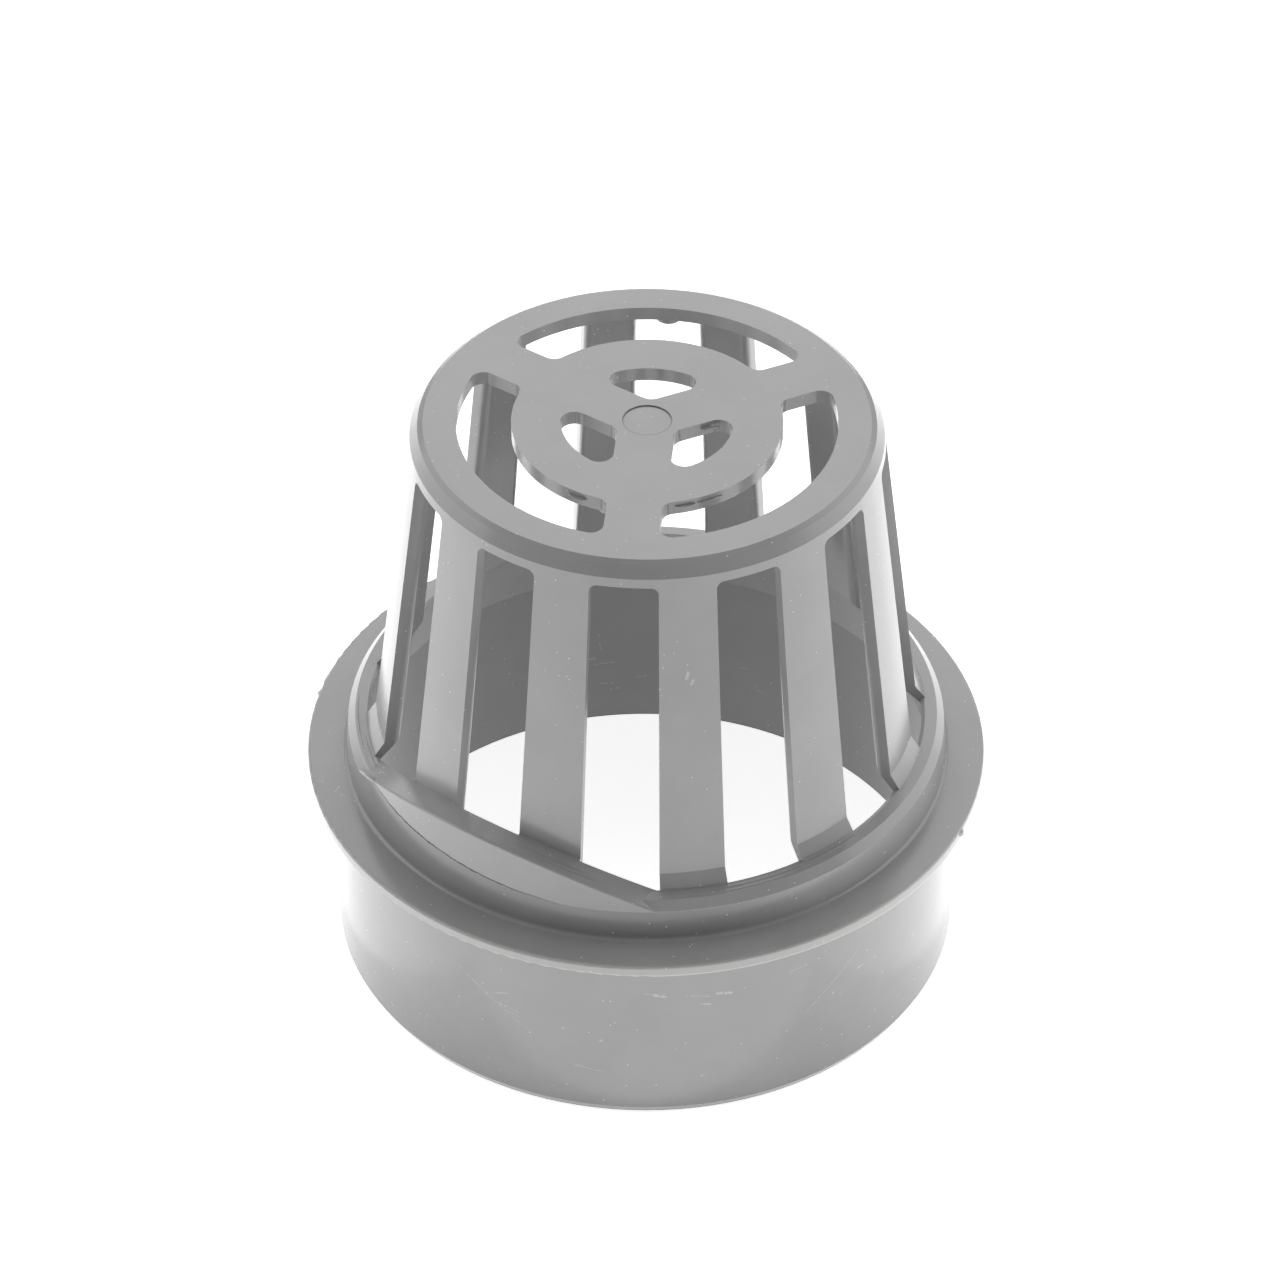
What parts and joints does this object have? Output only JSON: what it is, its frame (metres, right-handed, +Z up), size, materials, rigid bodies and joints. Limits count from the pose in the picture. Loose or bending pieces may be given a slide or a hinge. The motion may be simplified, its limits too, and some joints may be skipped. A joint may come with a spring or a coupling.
{
  "type": "atrium grate",
  "caption": "Domed drain grate moulded in one piece: spigot, flange, raised ring, leaning bars and a slotted top plate that keep leaves out of the pipe.",
  "frame": {"origin": "centre of the spigot's lower end, on the plane that the grate stands on", "axes": "+Z up along the grate's axis to the top plate; the higher bank of the ring faces -X and -Y"},
  "size_m": [0.1192, 0.1192, 0.1085],
  "materials": {
    "grey_plastic": "semi-gloss moulded plastic"
  },
  "bodies": {
    "root": {"grate": "grey_plastic"}
  },
  "joints": []
}
